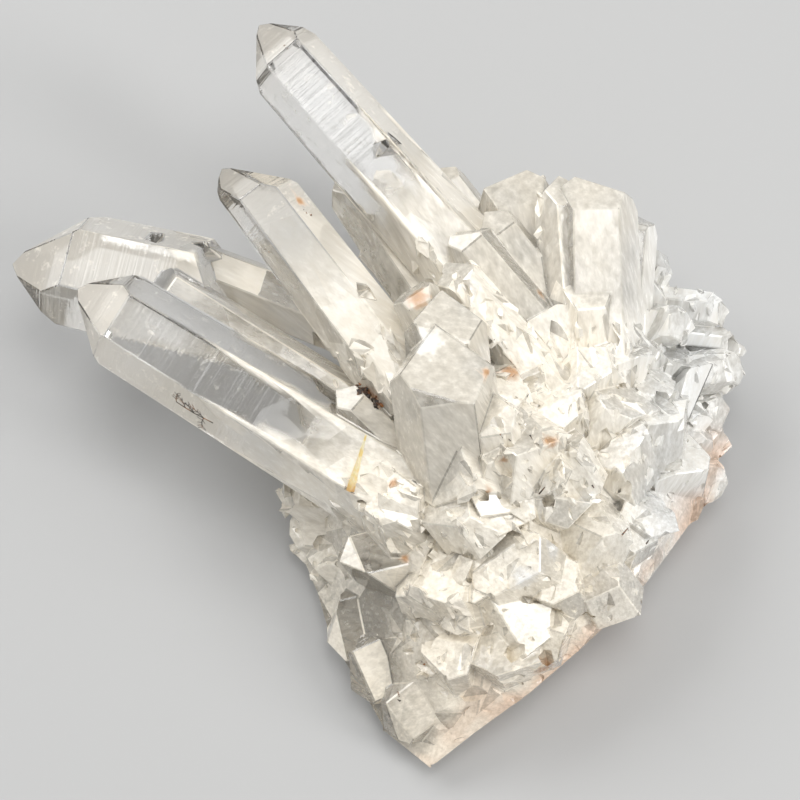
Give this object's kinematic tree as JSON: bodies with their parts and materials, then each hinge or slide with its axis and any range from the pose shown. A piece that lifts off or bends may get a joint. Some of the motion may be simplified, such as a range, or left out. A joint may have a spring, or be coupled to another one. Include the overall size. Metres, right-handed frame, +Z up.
{
  "type": "quartz crystal cluster",
  "caption": "Natural clear quartz cluster lying on its side: long six-sided points fan out of a milky, broken mass of intergrown crystals, cut flat underneath to rest.",
  "frame": {"origin": "middle of the footprint, on the flat cut that the cluster rests on", "axes": "+X to the right and +Y away, as seen in the picture; the long points fan out towards -X and +Y; +Z up"},
  "size_m": [0.1123, 0.1054, 0.0468],
  "materials": {
    "quartz": "polished",
    "iron_stained_quartz": "satin"
  },
  "bodies": {
    "root": {"quartz_cluster": "quartz", "iron_stained_splinter": "iron_stained_quartz"}
  },
  "joints": []
}
